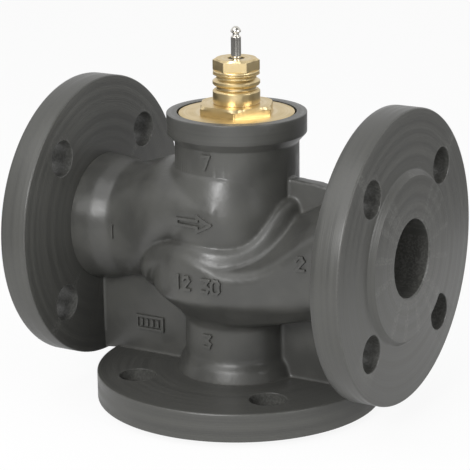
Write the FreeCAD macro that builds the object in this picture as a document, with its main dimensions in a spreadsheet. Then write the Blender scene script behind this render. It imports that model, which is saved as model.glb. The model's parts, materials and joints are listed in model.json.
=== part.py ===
import FreeCAD, Part
import Sketcher
import os
import re

# Three-port flanged mixing valve, DN 40. Millimetres. +Z runs up the stem, +X from port A to port AB.
# The origin is the centre of the bottom port's raised face, where the valve stands.

doc = FreeCAD.newDocument("FlowControlValve")

sizes = {
    # flanges and ports
    "face_to_face": 200.0,
    "axis_height": 90.0,
    "flange_dia": 150.0,
    "flange_thickness": 18.0,
    "raised_dia": 84.0,
    "raised_height": 3.0,
    "raised_slope": 3.0,
    "rim_chamfer": 1.0,
    "port_bore": 40.0,
    "mouth_chamfer": 0.8,
    "bolt_circle": 110.0,
    "bolt_hole_dia": 19.0,
    # casting
    "cast_wall": 8.0,
    "arm_wall": 10.0,
    "hub_step": 5.0,
    "hub_length": 9.0,
    "arm_length": 18.0,
    "foot_flare": 4.0,
    "foot_height": 8.0,
    "inlet_dia": 60.0,
    "inlet_height": 19.0,
    "inlet_shoulder": 4.0,
    "inlet_half_width": 27.0,
    "mixing_dia": 72.0,
    "mixing_ledge": 3.8,
    "mixing_slope": 12.0,
    "mixing_half_width": 27.0,
    "mixing_half_height": 16.0,
    "passage_reach": 22.0,
    "partition": 8.0,
    "web_thickness": 8.0,
    "upper_web_rise": 12.0,
    "upper_web_fall": 3.0,
    # neck and collar
    "neck_pass": 1.5,
    "thread_step": 1.0,
    "neck_wall": 5.0,
    "collar_wall": 5.3,
    "collar_rise": 65.0,
    "collar_band": 10.2,
    "collar_undercut": 4.4,
    "collar_chamfer": 0.7,
    "recess_clearance": 0.9,
    # seats
    "seat_bore": 35.0,
    "seat_width": 2.2,
    "seat_bevel": 0.8,
    "seat_lip": 2.0,
    "lower_seat_drop": 34.0,
    "upper_seat_drop": 1.0,
    "lower_ring_step": 1.5,
    "lower_ring_depth": 7.0,
    "ring_pass": 0.7,
    "upper_ring_rim": 2.3,
    "upper_ring_depth": 4.0,
    "press_clearance": 0.05,
    # bonnet
    "disc_overhang": 2.8,
    "disc_thickness": 4.0,
    "disc_sink": 0.2,
    "disc_chamfer": 0.5,
    "gasket_thickness": 1.0,
    "gasket_width": 2.4,
    "thread_length": 13.0,
    "thread_clearance": 0.05,
    "nose_dia": 19.0,
    "nose_length": 12.0,
    "bonnet_flats": 36.0,
    "bonnet_hex_height": 4.6,
    "bonnet_hex_turn": -3.5,
    "hex_bevel": 0.4,
    "relief_dia": 23.0,
    "relief_height": 0.6,
    "spigot_dia": 24.3,
    "spigot_height": 6.6,
    "clip_groove_dia": 19.8,
    "clip_groove_height": 2.1,
    "rib_height": 3.5,
    "rib_groove_dia": 19.8,
    "rib_groove_height": 2.1,
    "lip_height": 0.7,
    # gland
    "packing_bore": 12.0,
    "gland_thread_dia": 16.0,
    "gland_thread_depth": 9.0,
    "gland_washer_dia": 23.8,
    "gland_washer_height": 1.5,
    "gland_flats": 21.0,
    "gland_hex_height": 6.0,
    "gland_hex_turn": 26.5,
    "gland_nose": 3.6,
    "wiper_dia": 8.8,
    "wiper_height": 3.0,
    "o_ring_dia": 1.75,
    # packing
    "bush_dia": 9.0,
    "bush_length": 10.0,
    "washer_height": 1.0,
    "spring_wire": 1.3,
    "spring_height": 12.6,
    "spring_pitch": 2.6,
    "adapter_height": 2.6,
    "ring_height": 2.3,
    "chevron_depth": 1.1,
    "packing_clearance": 0.1,
    # stem and plugs
    "stem_dia": 5.2,
    "stem_top_rise": 108.7,
    "head_dia": 5.4,
    "head_height": 3.7,
    "head_cone": 1.0,
    "head_flat_dia": 1.6,
    "head_groove_dia": 3.3,
    "head_groove_height": 0.9,
    "head_shoulder": 1.8,
    "running_clearance": 0.05,
    "stroke": 15.0,
    "seat_gap": 0.2,
    "plug_dia": 39.0,
    "plug_plate": 5.0,
    "skirt_wall": 3.2,
    "skirt_clearance": 0.3,
    "upper_skirt": 25.0,
    "lower_skirt": 18.0,
    "window_width": 13.0,
    "window_margin": 2.0,
    "skirt_band": 6.0,
    "plug_hub_dia": 12.0,
    "plug_hub_height": 6.0,
    "spacer_dia": 16.0,
    "pin_dia": 1.6,
    "pin_clearance": 0.05,
    "nut_flats": 8.0,
    "nut_height": 4.0,
    "nut_washer_dia": 10.0,
    "stem_tail": 1.5,
}

sheet = doc.addObject("Spreadsheet::Sheet", "Sizes")
for row, (alias, value) in enumerate(sizes.items(), start=1):
    sheet.set(f"A{row}", alias)
    sheet.set(f"B{row}", str(value))
    sheet.setAlias(f"B{row}", alias)
doc.recompute()

# Levels that several pieces share, each worked out from the sheet
axis = "axis_height"
half_length = "face_to_face / 2"
back_face = "(face_to_face / 2 - flange_thickness)"
arm_end = "(face_to_face / 2 - flange_thickness - arm_length)"
lower_seat = "(axis_height - lower_seat_drop)"
upper_seat = "(axis_height - upper_seat_drop)"
mixing_floor = f"({lower_seat} - seat_lip)"
mixing_roof = f"({upper_seat} + seat_lip)"
inlet_floor = f"({mixing_roof} + partition)"
inlet_roof = f"({inlet_floor} + inlet_height)"
shoulder_top = f"({inlet_roof} + inlet_shoulder)"
collar_top = "(axis_height + collar_rise)"
band_foot = f"({collar_top} - collar_band)"
disc_top = f"({collar_top} - disc_sink)"
disc_bottom = f"({disc_top} - disc_thickness)"
recess_floor = f"({disc_bottom} - gasket_thickness)"
thread_end = f"({disc_bottom} - thread_length)"
nose_end = f"({thread_end} - nose_length)"
hex_top = f"({disc_top} + bonnet_hex_height)"
spigot_foot = f"({hex_top} + relief_height)"
clip_groove = f"({spigot_foot} + spigot_height)"
rib_foot = f"({clip_groove} + clip_groove_height)"
rib_groove = f"({rib_foot} + rib_height)"
lip_foot = f"({rib_groove} + rib_groove_height)"
neck_top = f"({lip_foot} + lip_height)"
gland_seat = f"({neck_top} + gland_washer_height)"
gland_top = f"({gland_seat} + gland_hex_height)"
gland_thread_end = f"({neck_top} - gland_thread_depth)"
gland_nose_end = f"({gland_thread_end} - gland_nose)"
wiper_foot = f"({gland_top} - wiper_height)"
o_ring_level = f"({gland_thread_end} + 3 * o_ring_dia)"
packing_floor = f"({nose_end} + bush_length)"
spring_foot = f"({packing_floor} + washer_height)"
spring_top = f"({spring_foot} + spring_height)"
rings_foot = f"({spring_top} + adapter_height)"
plug_foot = f"({lower_seat} + seat_gap)"
plug_head = f"({upper_seat} - seat_gap - stroke)"
stem_top = "(axis_height + stem_top_rise)"
head_foot = f"({stem_top} - head_height)"
head_groove = f"({head_foot} - head_groove_height)"

# Radii about the stem: what slides on it, the packing's bore and the skirts
stem_radius = "(stem_dia / 2)"
bore_radius = "(stem_dia / 2 + running_clearance)"
packing_radius = "(packing_bore / 2 - packing_clearance)"
packing_middle = f"(({bore_radius} + {packing_radius}) / 2)"
o_ring_groove = f"({stem_radius} + o_ring_dia + packing_clearance)"
o_ring_half = "(o_ring_dia / 2 + packing_clearance)"
skirt_radius = "(seat_bore / 2 - skirt_clearance)"

# Radii of the casting. Each ring passes through the opening above its own seat.
arm = "(port_bore / 2 + arm_wall)"
lower_ring = "(port_bore / 2 + lower_ring_step)"
upper_ring = f"({lower_ring} + ring_pass)"
upper_rim = f"({upper_ring} + upper_ring_rim)"
neck_bore = f"({upper_rim} + neck_pass)"
bonnet_bore = f"({neck_bore} + thread_step)"
disc_radius = f"({bonnet_bore} + disc_overhang)"
collar_radius = f"({disc_radius} + recess_clearance + collar_wall)"


def bound(text):
    """An expression with each alias read from the sheet."""
    return re.sub(r"[a-z_]{3,}", lambda word: f"Sizes.{word[0]}" if word[0] in sizes else word[0], text)


def number(text):
    """The present value of an expression."""
    return float(sheet.evalExpression(bound(text)))


def new_body(name):
    body = doc.addObject("PartDesign::Body", name)
    body.Label = name
    return body


def new_sketch(body, name, role="XZ_Plane", along="0", up="0"):
    """A sketch on an origin plane, moved along the plane's normal and up its second axis."""
    sketch = body.newObject("Sketcher::SketchObject", name)
    plane = next(item for item in body.Origin.OriginFeatures if item.Role == role)
    sketch.AttachmentSupport = [(plane, "")]
    sketch.MapMode = "FlatFace"
    place = FreeCAD.Vector(0, number(up), number(along))
    sketch.AttachmentOffset = FreeCAD.Placement(place, FreeCAD.Rotation())
    sketch.setExpression(".AttachmentOffset.Base.z", bound(along))
    sketch.setExpression(".AttachmentOffset.Base.y", bound(up))
    return sketch


def fix_point(sketch, geometry, end, point):
    """Tie one point of a sketch to its two expressions."""
    for kind, line, text in (("DistanceX", -2, point[0]), ("DistanceY", -1, point[1])):
        if text == "0":
            sketch.addConstraint(Sketcher.Constraint("PointOnObject", geometry, end, line))
        else:
            index = sketch.addConstraint(Sketcher.Constraint(kind, -1, 1, geometry, end, number(text)))
            sketch.setExpression(f"Constraints[{index}]", bound(text))


def draw(sketch, points):
    """A closed outline. A point marked "round" is passed through by an arc from its neighbours."""
    corners = [point for point in points if len(point) == 2]
    where = [FreeCAD.Vector(number(point[0]), number(point[1]), 0) for point in points]
    ends = []
    for index, point in enumerate(points):
        if len(point) == 3:
            continue
        after = (index + 1) % len(points)
        if len(points[after]) == 3:
            last = (index + 2) % len(points)
            arc = Part.Arc(where[index], where[after], where[last])
            geometry = sketch.addGeometry(arc, False)
            forward = sketch.getPoint(geometry, 1).isEqual(where[index], 1e-6)
            ends.append((geometry, 1, 2) if forward else (geometry, 2, 1))
            middle = sketch.addGeometry(Part.Point(where[after]), True)
            fix_point(sketch, middle, 1, points[after][:2])
            sketch.addConstraint(Sketcher.Constraint("PointOnObject", middle, 1, geometry))
        else:
            line = Part.LineSegment(where[index], where[after])
            ends.append((sketch.addGeometry(line, False), 1, 2))
    for index, corner in enumerate(corners):
        geometry, start, _ = ends[index]
        before, _, finish = ends[index - 1]
        sketch.addConstraint(Sketcher.Constraint("Coincident", before, finish, geometry, start))
        fix_point(sketch, geometry, start, corner)
    return sketch


def draw_circle(sketch, centre, radius):
    middle = FreeCAD.Vector(number(centre[0]), number(centre[1]), 0)
    geometry = sketch.addGeometry(Part.Circle(middle, FreeCAD.Vector(0, 0, 1), number(radius)), False)
    fix_point(sketch, geometry, 3, centre)
    index = sketch.addConstraint(Sketcher.Constraint("Radius", geometry, number(radius)))
    sketch.setExpression(f"Constraints[{index}]", bound(radius))
    return sketch


def oval(half_width, half_height):
    """Four arcs about the sketch's origin, round where the two halves are equal."""
    points = []
    for across, upward in ((1, 0), (1, 1), (0, 1), (-1, 1), (-1, 0), (-1, -1), (0, -1), (1, -1)):
        share = 1 if 0 in (across, upward) else 0.7071068
        x = f"{across * share} * ({half_width})" if across else "0"
        y = f"{upward * share} * ({half_height})" if upward else "0"
        points.append((x, y) if share == 1 else (x, y, "round"))
    return points


def hexagon(flats, turn):
    return [(f"{flats} / sqrt(3) * cos((60 * {corner} + {turn}) * 1deg)",
             f"{flats} / sqrt(3) * sin((60 * {corner} + {turn}) * 1deg)") for corner in range(6)]


def spin(body, kind, name, points, up="0", axis_name="V_Axis"):
    """A Revolution or Groove of an outline on the XZ plane."""
    sketch = draw(new_sketch(body, f"{name}_outline", up=up), points)
    feature = body.newObject(f"PartDesign::{kind}", name)
    feature.Profile = (sketch, [""])
    feature.ReferenceAxis = (sketch, [axis_name])
    feature.Angle = 360
    doc.recompute()
    return feature


def extrude(body, kind, name, sketch, length, midplane=False, reverse=False):
    """A Pad or Pocket of a sketch."""
    feature = body.newObject(f"PartDesign::{kind}", name)
    feature.Profile = (sketch, [""])
    feature.SideType = "Symmetric" if midplane else "One side"
    feature.Reversed = reverse
    feature.Length = number(length)
    feature.setExpression("Length", bound(length))
    doc.recompute()
    return feature


def round_pattern(body, name, feature, sketch, count):
    """Copies of a feature about its sketch's normal axis."""
    pattern = body.newObject("PartDesign::PolarPattern", name)
    pattern.Originals = [feature]
    pattern.Axis = (sketch, ["N_Axis"])
    pattern.Angle = 360
    pattern.Occurrences = count
    body.Tip = pattern
    doc.recompute()
    return pattern


def loft(body, kind, name, first, second):
    feature = body.newObject(f"PartDesign::{kind}", name)
    feature.Profile = (first, [""])
    feature.Sections = [(second, [""])]
    feature.Ruled = True
    doc.recompute()
    return feature


def turned(name, points):
    """A piece that is one turned section about the stem's axis."""
    body = new_body(name)
    spin(body, "Revolution", f"{name}_turning", points)
    return body


def sleeve(name, inner, outer, foot, head):
    return turned(name, [(inner, foot), (outer, foot), (outer, head), (inner, head)])


def valve_body():
    """The casting: trunk about the stem's axis, two flanged arms, passages, webs and bolt holes."""
    body = new_body("valve_body")
    riser = "(port_bore / 2 + cast_wall)"
    belly = "(mixing_dia / 2 + cast_wall)"
    shell = "(inlet_dia / 2 + cast_wall)"
    spin(body, "Revolution", "trunk", [
        ("0", "0"),
        ("raised_dia / 2", "0"),
        ("raised_dia / 2 + raised_slope", "raised_height"),
        ("flange_dia / 2 - rim_chamfer", "raised_height"),
        ("flange_dia / 2", "raised_height + rim_chamfer"),
        ("flange_dia / 2", "flange_thickness - rim_chamfer"),
        ("flange_dia / 2 - rim_chamfer", "flange_thickness"),
        (f"{riser} + foot_flare", "flange_thickness"),
        (riser, "flange_thickness + foot_height"),
        (riser, f"{mixing_floor} - lower_ring_depth - 0.4 * cast_wall"),
        (belly, f"{mixing_floor} + 0.6 * mixing_slope"),
        (belly, f"{mixing_roof} - 0.6 * mixing_slope"),
        (shell, mixing_roof),
        (shell, shoulder_top),
        (f"{bonnet_bore} + neck_wall", f"{shoulder_top} + cast_wall"),
        (f"{bonnet_bore} + neck_wall", f"{band_foot} - collar_undercut"),
        (collar_radius, band_foot),
        (collar_radius, f"{collar_top} - collar_chamfer"),
        (f"{collar_radius} - collar_chamfer", collar_top),
        ("0", collar_top),
    ])
    for port, side in (("a", "-1"), ("ab", "1")):
        spin(body, "Revolution", f"arm_{port}", [
            (f"{side} * {half_length}", "0"),
            (f"{side} * {half_length}", "raised_dia / 2"),
            (f"{side} * ({half_length} - raised_height)", "raised_dia / 2 + raised_slope"),
            (f"{side} * ({half_length} - raised_height)", "flange_dia / 2 - rim_chamfer"),
            (f"{side} * ({half_length} - raised_height - rim_chamfer)", "flange_dia / 2"),
            (f"{side} * ({back_face} + rim_chamfer)", "flange_dia / 2"),
            (f"{side} * {back_face}", "flange_dia / 2 - rim_chamfer"),
            (f"{side} * {back_face}", f"{arm} + hub_step"),
            (f"{side} * ({back_face} - hub_length)", arm),
            (f"{side} * {arm_end}", arm),
            (f"{side} * {arm_end}", "0"),
        ], up=axis, axis_name="H_Axis")

    # passages: round at the arm, a low wide oval where they open into their chamber
    inlet_centre = f"({inlet_floor} + inlet_height / 2)"
    mixing_centre = f"({mixing_floor} + seat_lip + mixing_half_height)"
    passages = (
        ("a", "-1", inlet_centre, "inlet_half_width", "(inlet_height / 2)"),
        ("ab", "1", mixing_centre, "mixing_half_width", "mixing_half_height"),
    )

    def passage(kind, label, port, side, centre, half_width, half_height, wall):
        outer = new_sketch(body, f"{label}_{port}_round", "YZ_Plane", f"{side} * {arm_end}", axis)
        inner = new_sketch(body, f"{label}_{port}_oval", "YZ_Plane", f"{side} * passage_reach", centre)
        draw(outer, oval(f"port_bore / 2 + {wall}", f"port_bore / 2 + {wall}"))
        draw(inner, oval(f"{half_width} + {wall}", f"{half_height} + {wall}"))
        return loft(body, kind, f"{label}_{port}", outer, inner)

    for port, side, centre, half_width, half_height in passages:
        passage("AdditiveLoft", "elbow", port, side, centre, half_width, half_height, "arm_wall")

    # webs: plates on the valve's middle plane, running into the solids round them
    def web(name, points):
        sketch = draw(new_sketch(body, f"{name}_outline"), points)
        extrude(body, "Pad", name, sketch, "web_thickness", midplane=True)

    for port, side in (("a", "-1"), ("ab", "1")):
        web(f"lower_web_{port}", [
            (f"{side} * ({back_face} + rim_chamfer)", "flange_thickness - rim_chamfer"),
            (f"{side} * ({back_face} + rim_chamfer)", f"{axis} - port_bore / 2 - arm_wall / 2"),
            (f"{side} * port_bore / 2", f"{axis} - port_bore / 2 - arm_wall / 2"),
            (f"{side} * port_bore / 2", "flange_thickness - rim_chamfer"),
        ])
    web("upper_web", [
        (f"{back_face} + rim_chamfer", f"{axis} + port_bore / 2 + arm_wall / 2"),
        (f"{back_face} + rim_chamfer", f"{axis} + port_bore / 2 + upper_web_rise - upper_web_fall"),
        ("inlet_dia / 2 + cast_wall", f"{axis} + port_bore / 2 + upper_web_rise"),
        ("inlet_dia / 2", f"{axis} + port_bore / 2 + upper_web_rise + cast_wall"),
        ("inlet_dia / 2", f"{axis} + port_bore / 2"),
    ])

    # the hollow, from the bottom bore up to the bonnet's recess
    spin(body, "Groove", "hollow", [
        ("0", "0"),
        ("port_bore / 2 + mouth_chamfer", "0"),
        ("port_bore / 2", "mouth_chamfer"),
        ("port_bore / 2", f"{mixing_floor} - lower_ring_depth"),
        (lower_ring, f"{mixing_floor} - lower_ring_depth"),
        (lower_ring, mixing_floor),
        (f"{upper_ring} + mixing_ledge", mixing_floor),
        ("mixing_dia / 2", f"{mixing_floor} + mixing_slope"),
        ("mixing_dia / 2", f"{mixing_roof} - mixing_slope"),
        (f"{upper_ring} + mixing_ledge", mixing_roof),
        (upper_ring, mixing_roof),
        (upper_ring, f"{mixing_roof} + upper_ring_depth"),
        (upper_rim, f"{mixing_roof} + upper_ring_depth"),
        (upper_rim, inlet_floor),
        ("inlet_dia / 2", inlet_floor),
        ("inlet_dia / 2", inlet_roof),
        (neck_bore, shoulder_top),
        (neck_bore, thread_end),
        (bonnet_bore, thread_end),
        (bonnet_bore, recess_floor),
        (f"{disc_radius} + recess_clearance", recess_floor),
        (f"{disc_radius} + recess_clearance", collar_top),
        ("0", collar_top),
    ])
    for port, side in (("a", "-1"), ("ab", "1")):
        spin(body, "Groove", f"bore_{port}", [
            (f"{side} * {half_length}", "0"),
            (f"{side} * {half_length}", "port_bore / 2 + mouth_chamfer"),
            (f"{side} * ({half_length} - mouth_chamfer)", "port_bore / 2"),
            (f"{side} * {arm_end}", "port_bore / 2"),
            (f"{side} * {arm_end}", "0"),
        ], up=axis, axis_name="H_Axis")
    for port, side, centre, half_width, half_height in passages:
        passage("SubtractiveLoft", "passage", port, side, centre, half_width, half_height, "0 * arm_wall")

    # four bolt holes in each flange, straddling its centre lines
    flanges = (
        ("b", "XY_Plane", "0", "0", True),
        ("a", "YZ_Plane", f"-1 * {half_length}", axis, True),
        ("ab", "YZ_Plane", half_length, axis, False),
    )
    for port, role, along, up, inward in flanges:
        sketch = new_sketch(body, f"bolt_hole_{port}_circle", role, along, up)
        draw_circle(sketch, ("bolt_circle / 2 * cos(45 * 1deg)", "bolt_circle / 2 * sin(45 * 1deg)"),
                    "bolt_hole_dia / 2")
        depth = "flange_thickness + rim_chamfer"
        hole = extrude(body, "Pocket", f"bolt_hole_{port}", sketch, depth, reverse=inward)
        round_pattern(body, f"bolt_holes_{port}", hole, sketch, 4)
    return body


def seat_rings():
    """Both rings carry a narrow flat seat; the lower faces up, the upper faces down."""
    bore = "seat_bore / 2"
    turned("lower_seat_ring", [
        (bore, f"{mixing_floor} - lower_ring_depth"),
        (f"{lower_ring} - press_clearance", f"{mixing_floor} - lower_ring_depth"),
        (f"{lower_ring} - press_clearance", mixing_floor),
        (f"{bore} + seat_bevel + seat_width", lower_seat),
        (f"{bore} + seat_bevel", lower_seat),
        (bore, f"{lower_seat} - seat_bevel"),
    ])
    turned("upper_seat_ring", [
        (bore, f"{upper_seat} + seat_bevel"),
        (f"{bore} + seat_bevel", upper_seat),
        (f"{bore} + seat_bevel + seat_width", upper_seat),
        (f"{upper_ring} - press_clearance", mixing_roof),
        (f"{upper_ring} - press_clearance", f"{mixing_roof} + upper_ring_depth"),
        (f"{upper_rim} - press_clearance", f"{mixing_roof} + upper_ring_depth"),
        (f"{upper_rim} - press_clearance", inlet_floor),
        (bore, inlet_floor),
    ])


def bonnet():
    body = turned("bonnet", [
        ("bush_dia / 2 + running_clearance", nose_end),
        ("nose_dia / 2", nose_end),
        ("nose_dia / 2", thread_end),
        (f"{bonnet_bore} - thread_clearance", thread_end),
        (f"{bonnet_bore} - thread_clearance", disc_bottom),
        (disc_radius, disc_bottom),
        (disc_radius, f"{disc_top} - disc_chamfer"),
        (f"{disc_radius} - disc_chamfer", disc_top),
        ("relief_dia / 2", disc_top),
        ("relief_dia / 2", spigot_foot),
        ("spigot_dia / 2", spigot_foot),
        ("spigot_dia / 2", clip_groove),
        ("clip_groove_dia / 2", clip_groove),
        ("clip_groove_dia / 2", rib_foot),
        ("spigot_dia / 2", rib_foot),
        ("spigot_dia / 2", rib_groove),
        ("rib_groove_dia / 2", rib_groove),
        ("rib_groove_dia / 2", lip_foot),
        ("spigot_dia / 2", lip_foot),
        ("spigot_dia / 2", neck_top),
        ("gland_thread_dia / 2", neck_top),
        ("gland_thread_dia / 2", gland_thread_end),
        ("packing_bore / 2", gland_thread_end),
        ("packing_bore / 2", packing_floor),
        ("bush_dia / 2 + running_clearance", packing_floor),
    ])
    sketch = draw(new_sketch(body, "hexagon_outline", "XY_Plane", disc_top),
                  hexagon("bonnet_flats", "bonnet_hex_turn"))
    draw_circle(sketch, ("0", "0"), "relief_dia / 2")
    extrude(body, "Pad", "hexagon", sketch, "bonnet_hex_height")
    spin(body, "Groove", "hexagon_bevel", [
        ("bonnet_flats / 2 - hex_bevel", hex_top),
        ("bonnet_flats / 2 + 10 * hex_bevel", hex_top),
        ("bonnet_flats / 2 + 10 * hex_bevel", f"{hex_top} - 4.5 * hex_bevel"),
    ])
    inner = f"{bonnet_bore} + packing_clearance"
    sleeve("bonnet_gasket", inner, f"{inner} + gasket_width", recess_floor, disc_bottom)


def gland():
    body = new_body("gland_nut")
    sketch = draw(new_sketch(body, "gland_hex_outline", "XY_Plane", gland_seat),
                  hexagon("gland_flats", "gland_hex_turn"))
    extrude(body, "Pad", "gland_hex", sketch, "gland_hex_height")
    spin(body, "Revolution", "gland_thread", [
        ("0", gland_nose_end),
        (packing_radius, gland_nose_end),
        (packing_radius, gland_thread_end),
        ("gland_thread_dia / 2 - thread_clearance", gland_thread_end),
        ("gland_thread_dia / 2 - thread_clearance", gland_seat),
        ("0", gland_seat),
    ])
    spin(body, "Groove", "gland_bevel", [
        ("gland_flats / 2", gland_top),
        ("gland_flats / 2 + 5 * hex_bevel", gland_top),
        ("gland_flats / 2 + 5 * hex_bevel", f"{gland_top} - 3 * hex_bevel"),
    ])
    spin(body, "Groove", "gland_bore", [
        ("0", gland_nose_end),
        (bore_radius, gland_nose_end),
        (bore_radius, f"{o_ring_level} - {o_ring_half}"),
        (o_ring_groove, f"{o_ring_level} - {o_ring_half}"),
        (o_ring_groove, f"{o_ring_level} + {o_ring_half}"),
        (bore_radius, f"{o_ring_level} + {o_ring_half}"),
        (bore_radius, wiper_foot),
        ("wiper_dia / 2", wiper_foot),
        ("wiper_dia / 2", gland_top),
        ("0", gland_top),
    ])
    inner = "gland_thread_dia / 2 + packing_clearance"
    sleeve("gland_washer", inner, "gland_washer_dia / 2", neck_top, gland_seat)
    turned("stem_wiper", [
        (bore_radius, wiper_foot),
        ("wiper_dia / 2 - running_clearance", wiper_foot),
        ("wiper_dia / 2 - running_clearance", f"{gland_top} - wiper_height / 4"),
        (f"({bore_radius} + wiper_dia / 2) / 2", f"{gland_top} - wiper_height / 3"),
        (bore_radius, gland_top),
    ])
    ring = new_body("stem_o_ring")
    centre = f"{bore_radius} + o_ring_dia / 2"
    sketch = draw_circle(new_sketch(ring, "o_ring_section"), (centre, o_ring_level), "o_ring_dia / 2")
    turning = ring.newObject("PartDesign::Revolution", "o_ring_turning")
    turning.Profile = (sketch, [""])
    turning.ReferenceAxis = (sketch, ["V_Axis"])
    turning.Angle = 360


def packing():
    """The stack on the packing bore's floor: washer, spring, base ring, three chevrons and top ring."""
    sleeve("guide_bush", bore_radius, "bush_dia / 2", nose_end, packing_floor)
    sleeve("spring_seat", bore_radius, packing_radius, packing_floor, spring_foot)

    spring = new_body("packing_spring")
    coil = draw_circle(new_sketch(spring, "wire_section"),
                       (f"{packing_radius} - packing_clearance - spring_wire / 2",
                        f"{spring_foot} + spring_wire / 2"),
                       "spring_wire / 2")
    helix = spring.newObject("PartDesign::AdditiveHelix", "coils")
    helix.Profile = (coil, [""])
    helix.ReferenceAxis = (coil, ["V_Axis"])
    helix.Mode = "pitch-height-angle"
    helix.setExpression("Pitch", bound("spring_pitch"))
    helix.setExpression("Height", bound("spring_height - spring_wire"))
    doc.recompute()

    turned("packing_base_ring", [
        (bore_radius, spring_top),
        (packing_radius, spring_top),
        (packing_radius, rings_foot),
        (packing_middle, f"{rings_foot} - chevron_depth"),
        (bore_radius, rings_foot),
    ])
    for place in range(3):
        foot = f"({rings_foot} + {place} * ring_height)"
        head = f"({rings_foot} + {place + 1} * ring_height)"
        turned(f"packing_ring_{place + 1}", [
            (bore_radius, foot),
            (packing_middle, f"{foot} - chevron_depth"),
            (packing_radius, foot),
            (packing_radius, head),
            (packing_middle, f"{head} - chevron_depth"),
            (bore_radius, head),
        ])
    top = f"({rings_foot} + 3 * ring_height)"
    turned("packing_top_ring", [
        (bore_radius, top),
        (packing_middle, f"{top} - chevron_depth"),
        (packing_radius, top),
        (packing_radius, gland_nose_end),
        (bore_radius, gland_nose_end),
    ])


def cross_hole(body, name, level):
    """The hole for the plug's pin, along X through the stem's axis."""
    sketch = new_sketch(body, f"{name}_circle", "YZ_Plane")
    draw_circle(sketch, ("0", level), "pin_dia / 2 + pin_clearance")
    extrude(body, "Pocket", name, sketch, "2 * plug_hub_dia", midplane=True)


def stem_and_plugs():
    """The pieces that lift together: stem, both plugs, spacer, pin, washer and nut."""
    pin_level = f"({plug_head} + plug_hub_height / 2)"
    nut_foot = f"({plug_foot} - washer_height - nut_height)"
    stem = turned("stem", [
        ("0", f"{nut_foot} - stem_tail"),
        (stem_radius, f"{nut_foot} - stem_tail"),
        (stem_radius, f"{head_groove} - head_shoulder"),
        ("head_groove_dia / 2", head_groove),
        ("head_groove_dia / 2", head_foot),
        ("head_dia / 2", f"{head_foot} + head_cone"),
        ("head_dia * 0.36", f"{stem_top} - (head_height - head_cone) * 0.45", "round"),
        ("head_flat_dia / 2", stem_top),
        ("0", stem_top),
    ])
    cross_hole(stem, "stem_pin_hole", pin_level)

    upper = turned("upper_plug", [
        (bore_radius, f"{plug_head} - plug_plate"),
        ("plug_dia / 2", f"{plug_head} - plug_plate"),
        ("plug_dia / 2", plug_head),
        (skirt_radius, plug_head),
        (skirt_radius, f"{plug_head} + upper_skirt"),
        (f"{skirt_radius} - skirt_wall", f"{plug_head} + upper_skirt"),
        (f"{skirt_radius} - skirt_wall", plug_head),
        ("plug_hub_dia / 2", plug_head),
        ("plug_hub_dia / 2", f"{plug_head} + plug_hub_height"),
        (bore_radius, f"{plug_head} + plug_hub_height"),
    ])
    windows(upper, "upper_window", f"{plug_head} + window_margin", f"{plug_head} + upper_skirt - skirt_band")
    cross_hole(upper, "upper_pin_hole", pin_level)

    lower = turned("lower_plug", [
        (bore_radius, f"{plug_foot} + plug_plate"),
        ("plug_dia / 2", f"{plug_foot} + plug_plate"),
        ("plug_dia / 2", plug_foot),
        (skirt_radius, plug_foot),
        (skirt_radius, f"{plug_foot} - lower_skirt"),
        (f"{skirt_radius} - skirt_wall", f"{plug_foot} - lower_skirt"),
        (f"{skirt_radius} - skirt_wall", plug_foot),
        (bore_radius, plug_foot),
    ])
    windows(lower, "lower_window", f"{plug_foot} - window_margin", f"{plug_foot} - lower_skirt + skirt_band")

    lower_back = f"{plug_foot} + plug_plate"
    sleeve("plug_spacer", bore_radius, "spacer_dia / 2", lower_back, f"{plug_head} - plug_plate")
    sleeve("plug_washer", bore_radius, "nut_washer_dia / 2", f"{plug_foot} - washer_height", plug_foot)
    nut = new_body("plug_nut")
    sketch = draw(new_sketch(nut, "nut_outline", "XY_Plane", nut_foot), hexagon("nut_flats", "0"))
    draw_circle(sketch, ("0", "0"), bore_radius)
    extrude(nut, "Pad", "nut_hex", sketch, "nut_height")
    pin = new_body("plug_pin")
    sketch = draw_circle(new_sketch(pin, "pin_circle", "YZ_Plane"), ("0", pin_level), "pin_dia / 2")
    extrude(pin, "Pad", "pin_length", sketch, "plug_hub_dia", midplane=True)


def windows(body, name, base, tip):
    """Three flow windows through a skirt, wide at the plug's plate and narrower at the skirt's band."""
    sketch = draw(new_sketch(body, f"{name}_outline"), [
        ("-1 * window_width / 2", base),
        ("window_width / 2", base),
        ("window_width / 3", tip),
        ("-1 * window_width / 3", tip),
    ])
    cut = extrude(body, "Pocket", name, sketch, "seat_bore")
    pattern = body.newObject("PartDesign::PolarPattern", f"{name}s")
    pattern.Originals = [cut]
    pattern.Axis = (sketch, ["V_Axis"])
    pattern.Angle = 360
    pattern.Occurrences = 3
    body.Tip = pattern
    doc.recompute()


valve_body()
seat_rings()
bonnet()
gland()
packing()
stem_and_plugs()
doc.recompute()

for item in doc.Objects:
    if "Invalid" in item.State or "Error" in item.State:
        raise RuntimeError(f"{item.Name} failed: {item.State}")
    if item.isDerivedFrom("PartDesign::SketchBased") and item.BaseFeature is not None:
        change = item.Shape.Volume - item.BaseFeature.Shape.Volume
        removes = item.TypeId.endswith(("Pocket", "Groove", "SubtractiveLoft"))
        if (change < 0) != removes:
            raise RuntimeError(f"{item.Name} changes the volume by {change:.3f}")

os.makedirs("parts", exist_ok=True)
for body in doc.findObjects("PartDesign::Body"):
    shape = body.Shape
    if shape.isNull() or not shape.isValid() or len(shape.Solids) != 1:
        raise RuntimeError(f"{body.Label} is not one valid solid")
    shape.exportStep(f"parts/{body.Label}.step")
    print(f"{body.Label}: {shape.Volume:.0f} mm3")
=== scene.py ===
import bpy, bmesh, json, math
from mathutils import Matrix, Vector
from mathutils.bvhtree import BVHTree


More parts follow.
